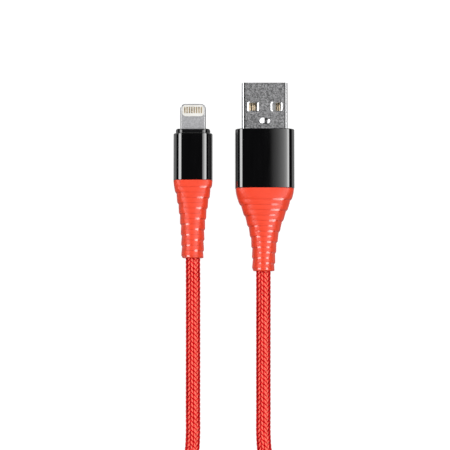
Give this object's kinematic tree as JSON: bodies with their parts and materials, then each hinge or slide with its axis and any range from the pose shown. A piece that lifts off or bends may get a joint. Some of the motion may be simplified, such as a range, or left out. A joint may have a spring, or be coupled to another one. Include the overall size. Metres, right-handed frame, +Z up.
{
  "type": "charging cable",
  "caption": "charging cable with a USB-A plug and a small reversible phone plug, flared grooved rubber boots and a braided cord folded into a tied hank",
  "frame": {"origin": "centre of the two plugs' shared bounding box, in the plane that they lie on", "axes": "+Y points the way both plugs point, +Z is up from the table, +X is from the phone plug towards the USB plug"},
  "size_m": [0.0338, 0.192, 0.01],
  "materials": {
    "usb_nickel": "bright nickel plate with faint mottling",
    "tip_metal": "satin nickel plate",
    "gilt": "thin gold plate",
    "white_plastic": "moulded, satin",
    "cream_plastic": "moulded, satin",
    "gloss_black": "polished and black anodised",
    "black_gloss_plastic": "moulded, polished",
    "black_plastic": "moulded, satin",
    "coral_rubber": "moulded, satin",
    "red_braid": "braided yarn sleeve in two reds",
    "strap": "woven hook-and-loop strap",
    "solder": "bright solder",
    "tin": "tinned sheet",
    "mould": "translucent white moulding",
    "board": "green lacquered glass laminate",
    "chip": "matt epoxy",
    "wire_red": "soft insulation",
    "wire_white": "soft insulation",
    "wire_green": "soft insulation",
    "wire_black": "soft insulation"
  },
  "bodies": {
    "cord": {"cord_usb_end": "red_braid", "cord_phone_end": "red_braid", "cord_hank": "red_braid", "cord_tie": "strap"},
    "usb_plug": {"usb_shell": "usb_nickel", "usb_insulator": "white_plastic", "usb_contact_1": "gilt", "usb_contact_2": "gilt", "usb_contact_3": "gilt", "usb_contact_4": "gilt", "usb_collar": "black_plastic", "usb_housing": "gloss_black", "usb_inner_mould": "mould", "usb_wire_red": "wire_red", "usb_wire_white": "wire_white", "usb_wire_green": "wire_green", "usb_wire_black": "wire_black", "usb_solder": "solder", "usb_crimp": "tin", "usb_cord_core": "red_braid", "usb_boot": "coral_rubber"},
    "phone_plug": {"phone_frame": "tip_metal", "phone_panel": "cream_plastic", "phone_contact_top_1": "gilt", "phone_contact_top_2": "gilt", "phone_contact_top_3": "gilt", "phone_contact_top_4": "gilt", "phone_contact_top_5": "gilt", "phone_contact_top_6": "gilt", "phone_contact_top_7": "gilt", "phone_contact_top_8": "gilt", "phone_contact_bottom_1": "gilt", "phone_contact_bottom_2": "gilt", "phone_contact_bottom_3": "gilt", "phone_contact_bottom_4": "gilt", "phone_contact_bottom_5": "gilt", "phone_contact_bottom_6": "gilt", "phone_contact_bottom_7": "gilt", "phone_contact_bottom_8": "gilt", "phone_board": "board", "phone_chip_1": "chip", "phone_chip_2": "chip", "phone_shield": "tin", "phone_collar": "black_gloss_plastic", "phone_housing": "gloss_black", "phone_inner_mould": "mould", "phone_wire_red": "wire_red", "phone_wire_white": "wire_white", "phone_wire_green": "wire_green", "phone_wire_black": "wire_black", "phone_solder": "solder", "phone_crimp": "tin", "phone_cord_core": "red_braid", "phone_boot": "coral_rubber"}
  },
  "joints": [
    {"name": "usb_flex", "type": "hinge", "parent": "cord", "child": "usb_plug", "pos_m": [0.00805, -0.01375, 0.0038], "axis": [1, 0, 0], "range_deg": [0, 60], "stiffness_Nm_per_rad": 0.01, "deforming": ["usb_boot", "usb_cord_core"]},
    {"name": "phone_flex", "type": "hinge", "parent": "cord", "child": "phone_plug", "pos_m": [-0.01065, -0.01098, 0.003], "axis": [1, 0, 0], "range_deg": [0, 60], "stiffness_Nm_per_rad": 0.01, "deforming": ["phone_boot", "phone_cord_core"]}
  ]
}
